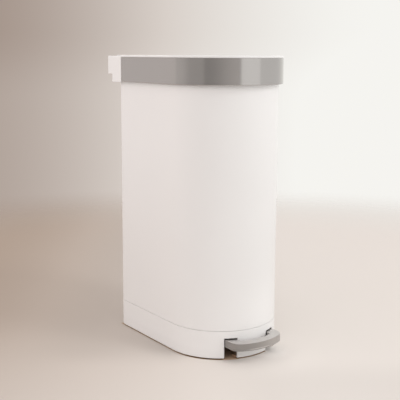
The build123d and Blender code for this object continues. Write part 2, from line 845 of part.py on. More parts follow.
os.makedirs("parts", exist_ok=True)
right_bracket = make_pivot_bracket()
right_arm = make_lever_arm()
nodes = {
    "bin_body": make_bin_body(),
    "base_plinth": make_base_plinth(),
    "rubber_feet": make_rubber_feet(),
    "base_screws": make_base_screws(),
    "pivot_bracket_left": mirror(right_bracket, about=Plane.YZ),
    "pivot_bracket_right": right_bracket,
    "bracket_screws": make_bracket_screws(),
    "pivot_axle": make_pivot_axle(),
    "axle_clips": make_axle_clips(),
    "rod_channel": make_rod_channel(),
    "channel_screws": make_channel_screws(),
    "rod_bush": make_rod_bush(),
    "rod_guide": make_rod_guide(),
    "damper_cylinder": make_damper_cylinder(),
    "damper_clips": make_damper_clips(),
    "hinge_housing": make_hinge_housing(),
    "housing_screws": make_housing_screws(),
    "hinge_pins": make_hinge_pins(),
    "lid_shell": make_lid_shell(),
    "lid_band": make_lid_band(),
    "lift_crank": make_lift_crank(),
    "crank_screws": make_crank_screws(),
    "lid_bumpers": make_lid_bumpers(),
    "pedal_tread": make_pedal_tread(),
    "lever_arm_left": mirror(right_arm, about=Plane.YZ),
    "lever_arm_right": right_arm,
    "tread_rivets": make_tread_rivets(),
    "axle_bushes": make_axle_bushes(),
    "lifter_shaft": make_lifter_shaft(),
    "lifter_sleeve": make_lifter_sleeve(),
    "lifter_clips": make_lifter_clips(),
    "push_rod": make_push_rod(),
    "rod_foot": make_rod_foot(),
    "rod_tip": make_rod_tip(),
    "rod_collar": make_rod_collar(),
    "damper_piston": make_damper_piston(),
}
for name, pieces in nodes.items():
    save(name, pieces)
print(f"hinge at y {hinge_y:.3f} z {hinge_z:.3f}, pivot at y {pivot_y:.3f} z {pivot_z:.3f}")
print(f"rod travel {rod_travel:.4f} mm, pedal angle {pedal_angle:.4f} degrees, rod at y {rod_y:.3f}")
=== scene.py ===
"""Looks of a slim pedal trash can: finer pieces, finishes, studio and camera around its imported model."""

import itertools
import math

import bpy
import numpy as np
from bpy.props import FloatProperty, FloatVectorProperty, PointerProperty
from mathutils import Matrix, Vector


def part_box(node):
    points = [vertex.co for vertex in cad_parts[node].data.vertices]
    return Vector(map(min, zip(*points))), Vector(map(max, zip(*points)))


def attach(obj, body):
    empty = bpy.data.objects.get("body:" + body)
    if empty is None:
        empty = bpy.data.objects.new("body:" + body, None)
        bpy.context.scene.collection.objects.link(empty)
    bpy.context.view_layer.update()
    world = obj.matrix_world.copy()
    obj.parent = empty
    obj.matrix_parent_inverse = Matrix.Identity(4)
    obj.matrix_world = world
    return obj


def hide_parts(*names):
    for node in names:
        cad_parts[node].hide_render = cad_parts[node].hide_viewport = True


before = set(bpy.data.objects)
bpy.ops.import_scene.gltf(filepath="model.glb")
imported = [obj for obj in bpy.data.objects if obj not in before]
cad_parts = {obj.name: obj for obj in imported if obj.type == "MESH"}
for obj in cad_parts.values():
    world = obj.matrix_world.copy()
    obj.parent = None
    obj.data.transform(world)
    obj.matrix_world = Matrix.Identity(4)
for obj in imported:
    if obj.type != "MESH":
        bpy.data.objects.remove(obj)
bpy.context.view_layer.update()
base_low, base_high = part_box("base_plinth")

bl_info = {
    "name": "Pedal Bin Looks",
    "version": (1, 0, 0),
    "blender": (4, 5, 0),
    "location": "View3D > Sidebar > Pedal Bin",
    "description": "Finer pieces, finishes and studio for a slim pedal trash can",
    "category": "Object",
}

MM = 0.001
UP = Vector((0, 0, 1))
BLACK = (0.0, 0.0, 0.0, 1.0)
ROUND_Y = base_low.y + base_high.x  # centre of the half-round front

# Camera: its place in metres, its aim as a direction, its azimuth in degrees and its roll in radians
CAMERA_AZIMUTH = -35.72
CAMERA_PLACE = (-1.08108, -1.47435, 0.656)
CAMERA_AIM = (0.57669, 0.80193, -0.15601)
CAMERA_ROLL = 0.00403
CAMERA_SHIFT = -0.05
SENSOR_WIDTH = 36.0  # millimetres

BAND_SHEET = 0.78 * MM  # thickness of the band round the lid
TURN_STEPS = 48  # points round a turned piece

# Pedal: the front's radius, the tread's depth, the sheet, and the half width between the arms
PEDAL_FRONT = 125.0 * MM
PEDAL_TREAD = 21.0 * MM
PEDAL_SHEET = 2.0 * MM
PEDAL_INNER_HALF = 40.5 * MM
PEDAL_CORNER = 22.0 * MM
PEDAL_INNER_CORNER = 8.0 * MM
PEDAL_BEAD_HEIGHT = 2.4 * MM

# Rubber feet: the front ones stand at an angle to the front, the middle ones behind the round's centre
FOOT_RADIUS = 8.0 * MM
FOOT_STUB_RADIUS = 3.0 * MM
FOOT_EDGE = 0.5 * MM
FOOT_CORE = 0.02  # innermost ring, as a share of the radius
FRONT_FOOT_TURN = math.radians(48)
MIDDLE_FOOT_BACK = 70.0 * MM
GROOVE_DEPTH = 0.45 * MM
GROOVE_HALF = 0.07  # half width of a groove, as a share of the radius
GROOVE_RINGS = (0.4, 0.68)

# Pan-head screws. The dome, rim and core are shares of the head's height or radius
HEAD_RADIUS = 3.2 * MM
HEAD_HEIGHT = 2.0 * MM
HEAD_CORE = 0.03
DOME_DROP = 0.2
RIM_START = 0.8
RIM_DROP = 0.35
SHANK_RADIUS = 1.6 * MM
POINT_RADIUS = 0.16 * MM

# Cross recess in a screw's head
RECESS_ARM = 0.42 * MM
RECESS_SOFT = 0.22 * MM
RECESS_REACH = 0.62 * HEAD_RADIUS
RECESS_DEPTH = 1.1 * MM

# Body and head direction of each set of screws that stands at the corners of its node's box
CORNER_SCREWS = {
    "base_screws": ("bin", (0, 0, -1)),
    "bracket_screws": ("bin", (0, 0, -1)),
    "housing_screws": ("bin", (0, 0, 1)),
    "crank_screws": ("lid", (0, 0, -1)),
}

# Screws through the back wall: how far the channel's rows lie from its ends, and a clip's half height
CHANNEL_ROWS = 3
CHANNEL_LOW_INSET = 60.0 * MM
CHANNEL_HIGH_INSET = 59.5 * MM
CLIP_HALF = 4.0 * MM

# Brown on the ledge inside the base's front, partly settled dust and partly painted shade of that recess,
# whose mask ends between each pair of values
LEDGE_DUST_AND_SHADE = (0.62, 0.4, 0.26, 1.0)
LEDGE_HEIGHT = (4.5 * MM, 7.0 * MM)
LEDGE_INSET = (-6.0 * MM, -3.0 * MM)
LEDGE_BACK = (-120.0 * MM, -100.0 * MM)

# Roughness and grain of small moulded pieces
RUBBER = {"roughness": 0.72, "grain_scale": 1600.0, "grain_depth": 0.05 * MM}
NYLON = {"roughness": 0.42, "grain_scale": 900.0, "grain_depth": 0.03 * MM}
DARK_PLASTIC = {"roughness": 0.45, "grain_scale": 1400.0, "grain_depth": 0.04 * MM}

# Studio floor in metres: it fades out between two distances and lies just below the feet
FLOOR_CLEAR = 1.15
FLOOR_END = 2.1
FLOOR_START = 0.5 * MM
FLOOR_DROP = 0.2 * MM
FLOOR_RINGS = 40
FLOOR_TURNS = 97

# Shadow under the base, by where its smooth steps start and end
SHADOW_EDGE = (-1.5 * MM, 1.0 * MM)
SHADOW_RIM = (-14.0 * MM, -7.0 * MM)
SHADOW_SPILL = 1.2 * MM  # how much wider it is where the sides bend to the front
BEND_BACK = (-120.0 * MM, -40.0 * MM)
BEND_SIDE = (30.0 * MM, 45.0 * MM)
SLOT_SIDES = (38.0 * MM, 41.0 * MM, 66.0 * MM, 69.0 * MM)
SLOT_BACK = (-120.0 * MM, -110.0 * MM)
RIGHT_SLOT_SIDES = (38.0 * MM, 41.0 * MM, 72.0 * MM, 78.0 * MM)
RIGHT_SLOT_BACK = (-140.0 * MM, -125.0 * MM)
SHADOW_INNER = (0.66, 0.47, 0.33, 1.0)
SHADOW_SIDE = (0.54, 0.4, 0.29, 1.0)
SHADOW_BEND = (0.26, 0.155, 0.068, 1.0)

# Painted light on the floor beside the pedal, which lifts the pedal's shadow there
PATCH_X = 45.0 * MM
PATCH_Y = -175.0 * MM
PATCH_FADE = (10.0 * MM, 55.0 * MM)
PATCH_TONE = (0.985, 0.945, 0.905, 1.0)

# Floor tone for rays that only light the bin, and tones of the surroundings
UNSEEN_FLOOR = (0.3, 0.28, 0.26, 1.0)
UNSEEN_SHARE = 0.3
COVE_TONE = (0.3, 0.24, 0.2, 1.0)
EVEN_LEFT = (0.7, 0.655, 0.638, 1.0)
EVEN_RIGHT = (0.77, 0.76, 0.745, 1.0)

# Dim panel that the band reflects, in metres, from its left to its right end in degrees from the camera
FLAG_RADIUS = 2.7
FLAG_HEIGHTS = (-0.3, 2.1)
FLAG_ENDS = (-86, 34)
FLAG_TURNS = 61
FLAG_TINT = (1.0, 0.95, 0.92, 1.0)

# Heights in metres that the lamps are placed from
LAMP_LEVEL = 0.62
PEDAL_LAMP_LEVEL = 0.12

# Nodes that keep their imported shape, by finish
WHITE_NODES = ("bin_body", "base_plinth", "hinge_housing", "lid_shell", "rod_channel")
PLATED_NODES = (
    "pivot_bracket_left", "pivot_bracket_right", "pivot_axle", "axle_clips", "hinge_pins",
    "lever_arm_left", "lever_arm_right", "tread_rivets", "lifter_shaft", "lifter_clips",
    "push_rod", "damper_piston",
)
NYLON_NODES = (
    "rod_bush", "rod_guide", "lift_crank", "axle_bushes", "lifter_sleeve", "rod_foot", "rod_tip",
)
DARK_NODES = ("damper_cylinder", "damper_clips", "rod_collar")


class PedalBinColours(bpy.types.PropertyGroup):
    """Colours of the finishes."""

    white: FloatVectorProperty(
        name="White plastic", description="Tub, base, lid and hinge housing",
        subtype="COLOR", size=3, min=0, max=1, default=(0.887, 0.879, 0.875))
    band: FloatVectorProperty(
        name="Lid band", description="Satin metal round the lid",
        subtype="COLOR", size=3, min=0, max=1, default=(0.54, 0.52, 0.503))
    pedal: FloatVectorProperty(
        name="Pedal", description="Pressed pedal",
        subtype="COLOR", size=3, min=0, max=1, default=(0.67, 0.65, 0.635))
    plated: FloatVectorProperty(
        name="Plated steel", description="Levers, rods, pins and screws",
        subtype="COLOR", size=3, min=0, max=1, default=(0.62, 0.62, 0.6))
    nylon: FloatVectorProperty(
        name="Nylon", description="Bearings, crank and rod ends",
        subtype="COLOR", size=3, min=0, max=1, default=(0.8, 0.78, 0.72))
    dark: FloatVectorProperty(
        name="Dark plastic", description="Damper and its clips",
        subtype="COLOR", size=3, min=0, max=1, default=(0.07, 0.07, 0.07))
    rubber: FloatVectorProperty(
        name="Rubber", description="Feet and lid bumpers",
        subtype="COLOR", size=3, min=0, max=1, default=(0.06, 0.06, 0.06))


class PedalBinSizes(bpy.types.PropertyGroup):
    """Sizes of the finer pieces."""

    band_edge: FloatProperty(
        name="Band edge", description="Height of the band's rolled edges",
        subtype="DISTANCE", min=0, default=1.4 * MM)
    pedal_edge: FloatProperty(
        name="Pedal edge", description="Rounding along the pedal's top edges",
        subtype="DISTANCE", min=0, default=1.0 * MM)
    pedal_bead: FloatProperty(
        name="Pedal bead", description="How far the pedal's lower bead stands out",
        subtype="DISTANCE", min=0, default=0.5 * MM)
    pedal_lip: FloatProperty(
        name="Pedal lip", description="Height of the thin lip below the pedal's bead",
        subtype="DISTANCE", min=0, default=1.5 * MM)


class PedalBinStudio(bpy.types.PropertyGroup):
    """Light, floor and backdrop."""

    # Floor tones: the darker left tone is painted shade on the floor
    floor_left: FloatVectorProperty(
        name="Floor left", description="Floor at the left of the picture",
        subtype="COLOR", size=3, min=0, max=1, default=(0.49, 0.4, 0.335))
    floor_right: FloatVectorProperty(
        name="Floor right", description="Floor at the right of the picture",
        subtype="COLOR", size=3, min=0, max=1, default=(0.865, 0.82, 0.78))
    backdrop_left: FloatVectorProperty(
        name="Backdrop left", description="Backdrop at the left of the picture",
        subtype="COLOR", size=3, min=0, max=1, default=(0.36, 0.285, 0.243))
    backdrop_middle: FloatVectorProperty(
        name="Backdrop middle", description="Backdrop behind the bin",
        subtype="COLOR", size=3, min=0, max=1, default=(0.69, 0.63, 0.585))
    backdrop_right: FloatVectorProperty(
        name="Backdrop right", description="Backdrop at the right of the picture",
        subtype="COLOR", size=3, min=0, max=1, default=(0.915, 0.905, 0.87))
    sky: FloatProperty(
        name="Soft light", description="Level of the soft light from all round", min=0, default=2.1)
    key: FloatProperty(
        name="Key", description="Power of the high lamp at the right",
        subtype="POWER", min=0, default=7.0)
    fill: FloatProperty(
        name="Fill", description="Power of the low lamp in front",
        subtype="POWER", min=0, default=0.5)
    pedal_light: FloatProperty(
        name="Pedal light", description="Power of the small lamp by the pedal",
        subtype="POWER", min=0, default=0.009)
    rim: FloatProperty(
        name="Rim", description="Power of the panel behind that lights the edges",
        subtype="POWER", min=0, default=10.0)
    softbox: FloatProperty(
        name="Softbox", description="Power of the tall panel that the lid band reflects",
        subtype="POWER", min=0, default=2.0)
    lens: FloatProperty(
        name="Lens", description="Focal length on a 36 mm sensor",
        subtype="DISTANCE_CAMERA", min=1, default=72.576)


class Wire:
    """One socket of a shader tree. Sums written with it add Math nodes."""

    def __init__(self, tree, socket=None):
        self.tree = tree
        self.socket = socket

    def node(self, kind, settings=None, sockets=None, output=0):
        """Adds a node: its settings first, then the values or links of its sockets."""
        made = self.tree.nodes.new(kind)
        for key, value in (settings or {}).items():
            setattr(made, key, value)
        for key, value in (sockets or {}).items():
            if isinstance(value, Wire):
                self.tree.links.new(value.socket, made.inputs[key])
            else:
                made.inputs[key].default_value = value
        return None if output is None else Wire(self.tree, made.outputs[output])

    def math(self, operation, *values):
        return self.node("ShaderNodeMath", {"operation": operation}, dict(enumerate(values)))

    def __add__(self, other):
        return self.math("ADD", self, other)

    def __radd__(self, other):
        return self.math("ADD", other, self)

    def __sub__(self, other):
        return self.math("SUBTRACT", self, other)

    def __rsub__(self, other):
        return self.math("SUBTRACT", other, self)

    def __mul__(self, other):
        return self.math("MULTIPLY", self, other)

    def __rmul__(self, other):
        return self.math("MULTIPLY", other, self)

    def ease(self, start, end):
        """Smooth step from 0 at start to 1 at end."""
        return self.node(
            "ShaderNodeMapRange", {"interpolation_type": "SMOOTHSTEP"},
            {"Value": self, "From Min": start, "From Max": end})

    def fall(self, start, end):
        """Smooth step from 1 at start to 0 at end."""
        return 1 - self.ease(start, end)

    def between(self, start, rise, drop, end):
        """1 from rise to drop, with smooth steps from 0 at start and to 0 at end."""
        return self.ease(start, rise) * self.fall(drop, end)

    def hypot(self, other):
        """Length of the diagonal over this value and another."""
        return self.math("SQRT", self * self + other * other)

    def blend(self, first, second):
        """Colour between two colours, with this value as the share of the second."""
        return self.node("ShaderNodeMix", {"data_type": "RGBA"}, {0: self, 6: first, 7: second}, 2)

    def spot(self):
        """Object coordinates."""
        return self.node("ShaderNodeTexCoord", output="Object")

    def part(self, axis):
        """X, Y or Z of this vector."""
        return self.node("ShaderNodeSeparateXYZ", {}, {"Vector": self}, axis)

    def along(self, direction):
        """How far this vector reaches along a direction."""
        sockets = {0: self, 1: tuple(direction)}
        return self.node("ShaderNodeVectorMath", {"operation": "DOT_PRODUCT"}, sockets, "Value")

    def length(self):
        """Length of this vector."""
        return self.node("ShaderNodeVectorMath", {"operation": "LENGTH"}, {0: self}, "Value")

    def place(self, scale=(1, 1, 1)):
        """Object coordinates, scaled along each axis."""
        return self.node("ShaderNodeMapping", sockets={"Vector": self.spot(), "Scale": scale})

    def noise(self, scale, detail=2.0, stretch=(1, 1, 1)):
        """Noise value on object coordinates, with that many cells to the metre."""
        sockets = {"Vector": self.place(stretch), "Scale": scale, "Detail": detail}
        return self.node("ShaderNodeTexNoise", {}, sockets)

    def cells(self, scale):
        """Random value of each Voronoi cell."""
        tint = self.node(
            "ShaderNodeTexVoronoi", {}, {"Vector": self.place(), "Scale": scale}, "Color")
        return self.node("ShaderNodeSeparateColor", {}, {"Color": tint}, "Red")

    def shown(self):
        """1 for rays that show the studio, straight or in a reflection, and 0 for rays that only light."""
        paths = ("Is Camera Ray", "Is Glossy Ray", "Is Transmission Ray")
        seen = [self.node("ShaderNodeLightPath", output=path) for path in paths]
        return self.math("MINIMUM", seen[0] + seen[1] + seen[2], 1.0)

    def bump(self, height, distance, strength=1.0):
        sockets = {"Height": height, "Distance": distance, "Strength": strength}
        return self.node("ShaderNodeBump", {}, sockets)


def shade(colour, factor):
    """A colour made darker or lighter, as RGBA."""
    return (*(min(1.0, channel * factor) for channel in colour), 1.0)


def start_material(name):
    """An empty node material and the wire its nodes start from."""
    material = bpy.data.materials.new(name)
    material.use_nodes = True
    material.node_tree.nodes.clear()
    return material, Wire(material.node_tree)


def principled_material(name, build):
    """Material whose Principled shader takes the sockets that build returns."""
    material, wire = start_material(name)
    shader = wire.node("ShaderNodeBsdfPrincipled", {}, build(wire))
    wire.node("ShaderNodeOutputMaterial", {}, {"Surface": shader}, None)
    return material


def outside_base(spot):
    """Level distance outside the base's round front and straight sides, negative inside them."""
    ahead = spot.math("MINIMUM", spot.part("Y") - ROUND_Y, 0.0)
    return spot.part("X").hypot(ahead) - base_high.x


def white_plastic(colour):
    """Satin moulded plastic: fine mould grain, faint clouds, a trace of floor dust low down, and brown on the
    ledge inside the base's front that is partly settled dust and partly painted shade."""

    def build(wire):
        clouds = wire.noise(scale=7.0, detail=3.0)
        grain = wire.noise(scale=1900.0)
        spot = wire.spot()
        height = spot.part("Z")
        dust = height.fall(2 * MM, 30 * MM) * wire.noise(scale=60.0, detail=4.0)
        # Brown on the ledge inside the base's front: partly settled dust, partly painted shade of the recess
        ledge = height.fall(*LEDGE_HEIGHT) * outside_base(spot).fall(*LEDGE_INSET)
        ledge = ledge * spot.part("Y").fall(*LEDGE_BACK)
        tone = clouds.blend(shade(colour, 0.985), shade(colour, 1.012))
        tone = (0.12 * dust).blend(tone, shade(colour, 0.55))
        return {
            "Base Color": ledge.blend(tone, LEDGE_DUST_AND_SHADE),
            "Roughness": 0.29 + 0.06 * clouds + 0.1 * dust,
            "Normal": wire.bump(grain, distance=0.04 * MM, strength=0.5),
        }

    return principled_material("white_plastic_satin", build)


def satin_metal(name, colour, roughness, stretch):
    """Brushed satin metal: fine lines along the brushing, with faint clouds in the polish."""

    def build(wire):
        lines = wire.noise(scale=1.0, detail=3.0, stretch=stretch)
        clouds = wire.noise(scale=22.0, detail=3.0)
        return {
            "Base Color": (0.6 * lines + 0.4 * clouds).blend(shade(colour, 0.95), shade(colour, 1.05)),
            "Metallic": 1.0,
            "Roughness": roughness - 0.02 + 0.03 * lines + 0.03 * clouds,
            "Normal": wire.bump(lines, distance=0.01 * MM, strength=0.35),
        }

    return principled_material(name, build)


def pedal_metal(colour):
    """Pressed metal with painted light: the satin tread is painted brighter as a lit top, the walls are
    painted darker as shade and lighter to the right as painted light, and a painted highlight runs along the
    bead near its middle."""
    low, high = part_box("pedal_tread")

    def build(wire):
        lines = wire.noise(scale=1.0, detail=3.0, stretch=(30, 1500, 1500))
        spot = wire.spot()
        height, across = spot.part("Z"), spot.part("X")
        # Painted light and shade: the top band takes a lit copy of the colour, the walls shaded copies
        tread = (height - high.z).ease(-0.9 * MM, -0.2 * MM)
        bead = (height - low.z).between(-0.2 * MM, 0.4 * MM, 1.8 * MM, 2.5 * MM)
        # Painted highlight along the bead, strongest near its middle
        bead_highlight_span = across.between(-45 * MM, -20 * MM, 5 * MM, 25 * MM)
        bright = 0.9 * tread + 0.7 * bead * bead_highlight_span + 0.1 * lines
        # Painted shade on the walls, lighter to the right as painted light
        shaded_walls = across.ease(-45 * MM, 45 * MM).blend(shade(colour, 0.5), shade(colour, 0.75))
        return {
            "Base Color": bright.blend(shaded_walls, shade(colour, 1.04)),
            "Metallic": 1.0,
            "Roughness": 0.3 + 0.05 * lines,
            "Normal": wire.bump(lines, distance=0.01 * MM, strength=0.35),
        }

    return principled_material("pedal_metal_satin", build)


def plated_steel(colour, name):
    """Zinc plate: small spangles of lighter and darker grey with uneven gloss."""

    def build(wire):
        spangle = wire.cells(scale=260.0)
        haze = wire.noise(scale=90.0, detail=3.0)
        return {
            "Base Color": spangle.blend(shade(colour, 0.88), shade(colour, 1.08)),
            "Metallic": 1.0,
            "Roughness": 0.26 + 0.14 * haze + 0.05 * spangle,
            "Normal": wire.bump(haze, distance=0.03 * MM, strength=0.4),
        }

    return principled_material(name, build)


def moulded(name, colour, roughness, grain_scale, grain_depth):
    """Small moulded parts: grained surface with a slightly uneven colour."""

    def build(wire):
        grain = wire.noise(grain_scale)
        clouds = wire.noise(scale=40.0, detail=3.0)
        return {
            "Base Color": clouds.blend(shade(colour, 0.85), shade(colour, 1.12)),
            "Roughness": roughness + 0.12 * clouds,
            "Normal": wire.bump(grain, grain_depth, strength=0.6),
        }

    return principled_material(name, build)


def mesh_object(name, points, faces):
    """Smooth-shaded object at the origin."""
    mesh = bpy.data.meshes.new(name)
    mesh.from_pydata(points.reshape(-1, 3).tolist(), [], faces)
    mesh.polygons.foreach_set("use_smooth", np.ones(len(faces), bool))
    made = bpy.data.objects.new(name, mesh)
    bpy.context.scene.collection.objects.link(made)
    return made


def grid_object(name, points, caps=False):
    """Object over one or more grids of points (stations, profile, 3) whose profile is a closed loop."""
    index = np.arange(points.size // 3).reshape(-1, *points.shape[-3:-1])
    after = np.roll(index, -1, axis=2)
    corners = [index[:, :-1], index[:, 1:], after[:, 1:], after[:, :-1]]
    faces = np.stack(corners, axis=-1).reshape(-1, 4).tolist()
    if caps:
        faces += index[:, 0].tolist() + index[:, -1, ::-1].tolist()
    return mesh_object(name, points, faces)


def weighted_normals(made, sharp_angle=math.radians(40)):
    """Keeps flat faces flat beside small roundings."""
    made.data.set_sharp_from_angle(angle=sharp_angle)
    finish = made.modifiers.new("weighted_normals", "WEIGHTED_NORMAL")
    finish.keep_sharp = True
    return made


def dress(nodes, material):
    """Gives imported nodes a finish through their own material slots."""
    for name in nodes:
        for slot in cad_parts[name].material_slots:
            slot.material = material


def quarter(steps):
    """Sine and cosine over a quarter turn."""
    turn = np.linspace(0, math.pi / 2, steps)
    return np.sin(turn), np.cos(turn)


def bow_path(half, back, side_steps=24, arc_steps=144):
    """U-shaped path round the lid: x = -half cos t, y = ROUND_Y - half sin t over the half turn,
    with straight sides back to the given depth. Gives the points and their outward normals."""
    turn = np.linspace(0, math.pi, arc_steps)
    normals = np.stack([-np.cos(turn), -np.sin(turn)], axis=1)
    arc = half * normals + [0, ROUND_Y]
    depth = np.linspace(back, ROUND_Y, side_steps, endpoint=False)
    left = np.stack([np.full(side_steps, -half), depth], axis=1)
    right = left[::-1] * [-1, 1]
    points = np.concatenate([left, arc, right])
    side = np.tile([-1.0, 0.0], (side_steps, 1))
    return points, np.concatenate([side, normals, -side])


def make_band(sizes):
    """Strip carried along the bow path. Its profile is a thin upright sheet whose outer face turns in
    over the edges on quarter ellipses: depth d(1 - sin t), height e(1 - cos t)."""
    low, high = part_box("lid_band")
    edge = sizes.band_edge
    points, normals = bow_path(high.x, high.y)
    sine, cosine = quarter(9)
    rise = np.linspace(low.z + edge, high.z - edge, 12)[1:-1]
    turn_in = BAND_SHEET * (1 - sine)
    turn_up = edge * (1 - cosine)
    back = np.full(len(rise), BAND_SHEET)
    inset = np.concatenate([turn_in, np.zeros(len(rise)), turn_in[::-1], back])
    height = np.concatenate([low.z + turn_up, rise, high.z - turn_up[::-1], rise[::-1]])
    grid = np.empty((len(points), len(inset), 3))
    grid[..., :2] = points[:, None] - normals[:, None] * inset[None, :, None]
    grid[..., 2] = height
    return weighted_normals(grid_object("lid_band_wrap", grid, caps=True))


def arched_path(half, radius, corner, centre_y, back, arm_steps=18, corner_steps=20, front_steps=30):
    """U-shaped path of the pedal's plan: straight arms at x = +-half, a front arc of the given radius
    about (0, centre_y), and corner arcs that touch both."""
    corner_x = half - corner
    corner_y = centre_y - math.sqrt((radius - corner) ** 2 - corner_x**2)
    swing = math.atan2(corner_x, centre_y - corner_y)
    arm = np.linspace(back, corner_y, arm_steps, endpoint=False)
    arm = np.stack([np.full(arm_steps, half), arm], axis=1)
    turn = np.linspace(math.pi / 2, swing, corner_steps, endpoint=False)
    bend = np.stack([corner_x + corner * np.sin(turn), corner_y - corner * np.cos(turn)], axis=1)
    turn = np.linspace(swing, 0, front_steps, endpoint=False)
    front = np.stack([radius * np.sin(turn), centre_y - radius * np.cos(turn)], axis=1)
    right = np.concatenate([arm, bend, front])
    nose = np.array([[0.0, centre_y - radius]])
    return np.concatenate([right, nose, right[::-1] * [-1, 1]])


def pedal_wall(sizes, low, high):
    """Profile of one wall of the pedal: how far each point lies in from the bead's crest, and its height. It
    runs down the lining and up the skin: lip, bead b(1 - sin t), wall, and a quarter round at the top."""
    edge, bead, foot = sizes.pedal_edge, sizes.pedal_bead, low - sizes.pedal_lip
    sine, cosine = quarter(8)
    swell = np.linspace(0, math.pi, 9)
    bead_up = low + PEDAL_BEAD_HEIGHT * (1 - np.cos(swell)) / 2
    wall_up = np.linspace(bead_up[-1], high - edge, 6)[1:-1]
    lining, wall = [PEDAL_SHEET, PEDAL_SHEET], np.full(len(wall_up), bead)
    inset = np.concatenate([lining, [bead], bead * (1 - np.sin(swell)), wall, bead + edge * (1 - cosine)])
    height = np.concatenate([[high - PEDAL_SHEET, foot, foot], bead_up, wall_up, high - edge + edge * sine])
    return inset, height


def make_pedal(sizes):
    """Channel between an outer and an inner path. Each station's profile runs up the outer wall with a
    bead above its lip, over the rounded top, down the inner wall and back along the inside of the sheet."""
    low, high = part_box("pedal_tread")
    centre_y = low.y + PEDAL_FRONT
    outer = arched_path(high.x, PEDAL_FRONT, PEDAL_CORNER, centre_y, high.y)
    inner_front = PEDAL_FRONT - PEDAL_TREAD
    inner = arched_path(PEDAL_INNER_HALF, inner_front, PEDAL_INNER_CORNER, centre_y, high.y)
    across = inner - outer
    across /= np.linalg.norm(across, axis=1, keepdims=True)
    inset, height = pedal_wall(sizes, low.z, high.z)
    half = len(inset)
    grid = np.empty((len(outer), 2 * half, 3))
    grid[:, :half, :2] = outer[:, None] + across[:, None] * inset[None, :, None]
    grid[:, half:, :2] = inner[:, None] - across[:, None] * inset[None, ::-1, None]
    grid[..., 2] = np.concatenate([height, height[::-1]])
    return weighted_normals(grid_object("pedal_channel", grid[:, ::-1], caps=True))


def turns_of(count):
    """Angles round one turn."""
    return np.linspace(0, 2 * math.pi, count, endpoint=False)


def turned(name, axis, seats, radius, height):
    """Like pieces turned about one axis direction, one on each seat: the point at station s and turn t is
    seat + radius(s, t) (u cos t + v sin t) + height(s, t) axis, with u and v across the axis."""
    axis, seats = np.array(axis, float), np.array(seats, float)
    side = np.roll(axis, 1)
    turn = turns_of(radius.shape[1])
    across = np.cos(turn)[:, None] * side + np.sin(turn)[:, None] * np.cross(axis, side)
    shape = radius[..., None] * across + height[..., None] * axis
    return weighted_normals(grid_object(name, seats[:, None, None] + shape, caps=True))


def make_screws(name, axis, length, seats):
    """Pan-head screws. The head is a shallow dome, height h (1 - d (r/R)^2), with a rounded rim, and a cross
    is sunk into it where the smaller of |x| and |y| is inside the arms. The shank ends in a cone."""
    sine, cosine = quarter(5)
    flat = np.linspace(HEAD_CORE, RIM_START, 14) * HEAD_RADIUS
    dome = HEAD_HEIGHT * (1 - DOME_DROP * (flat / HEAD_RADIUS) ** 2)
    rim = (RIM_START + (1 - RIM_START) * sine[1:]) * HEAD_RADIUS
    rim_height = dome[-1] - HEAD_HEIGHT * RIM_DROP * (1 - cosine[1:])
    profile = np.concatenate([flat, rim, [HEAD_RADIUS, SHANK_RADIUS, SHANK_RADIUS, POINT_RADIUS]])
    rise = np.concatenate([dome, rim_height, [0, 0, SHANK_RADIUS - length, -length]])[:, None]
    radius = np.repeat(profile[:, None], TURN_STEPS, axis=1)
    turn = turns_of(TURN_STEPS)
    inside = np.minimum(abs(radius * np.cos(turn)), abs(radius * np.sin(turn)))
    cross = np.clip((RECESS_ARM - inside) / RECESS_SOFT + 0.5, 0, 1)
    cross *= np.clip((RECESS_REACH - radius) / RECESS_SOFT, 0, 1)
    height = rise - RECESS_DEPTH * cross * (rise > HEAD_HEIGHT / 2)
    return turned(name, axis, seats, radius, height)


def corner_seats(node, axis):
    """Where the heads of screws at the corners of a node's box sit, and the length below the heads."""
    low, high = np.array(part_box(node))
    axis = np.array(axis)
    length = abs(axis) @ (high - low) - HEAD_HEIGHT
    ends = np.stack([low + HEAD_RADIUS, high - HEAD_RADIUS])
    lone = np.ptp(ends, axis=0) < HEAD_RADIUS
    ends[:, lone] = ends[:, lone].mean(axis=0)
    seat = np.where(axis > 0, high, low) - HEAD_HEIGHT * axis
    ends[:, axis != 0] = seat[axis != 0]
    return np.unique(list(itertools.product(*ends.T)), axis=0), length


def channel_seats():
    """Where the heads behind the back wall sit: rows at both sides of the rod channel, one for the rod
    guide and one for each clip of the damper. Also gives the length below the heads."""
    low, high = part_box("channel_screws")
    channel, guide, clips = (np.array(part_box(node)) for node in ("rod_channel", "rod_guide", "damper_clips"))
    lowest, highest = channel[0, 2] + CHANNEL_LOW_INSET, channel[1, 2] - CHANNEL_HIGH_INSET
    side = high.x - HEAD_RADIUS
    places = [(x, z) for x in (-side, side) for z in np.linspace(lowest, highest, CHANNEL_ROWS)]
    places.append((0, guide[:, 2].mean()))
    places += [(clips[:, 0].mean(), z) for z in (clips[0, 2] + CLIP_HALF, clips[1, 2] - CLIP_HALF)]
    seat = high.y - HEAD_HEIGHT
    return [(x, seat, z) for x, z in places], seat - low.y


